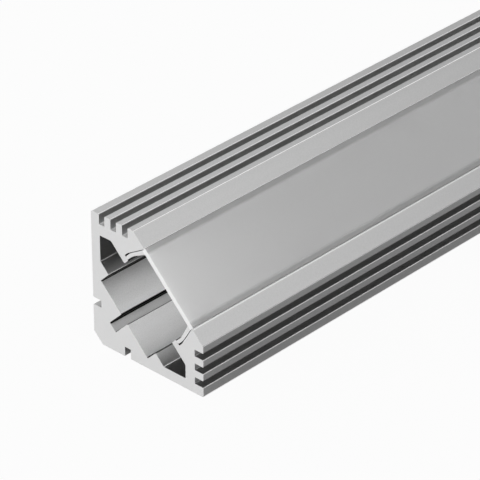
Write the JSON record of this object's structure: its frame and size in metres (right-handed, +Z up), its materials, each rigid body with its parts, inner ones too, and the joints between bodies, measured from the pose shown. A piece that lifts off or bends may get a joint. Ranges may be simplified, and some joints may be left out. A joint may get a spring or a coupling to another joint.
{
  "type": "corner led strip profile",
  "caption": "Corner aluminium extrusion that holds an LED strip at 45 degrees between two cooling-finned faces, closed by a frosted cover that snaps in.",
  "frame": {"origin": "on the floor under the middle of the profile, halfway along it", "axes": "+Y along the profile, -X towards the upright wall face, +Z up; the light comes out between +X and +Z"},
  "size_m": [0.0186, 1, 0.0185],
  "materials": {
    "anodised_aluminium": "satin clear anodised, fine lines along the extrusion, sawn ends",
    "frosted_plastic": "frosted, lets light through and hides the strip"
  },
  "bodies": {
    "root": {"profile_extrusion": "anodised_aluminium", "diffuser_cover": "frosted_plastic"}
  },
  "joints": []
}
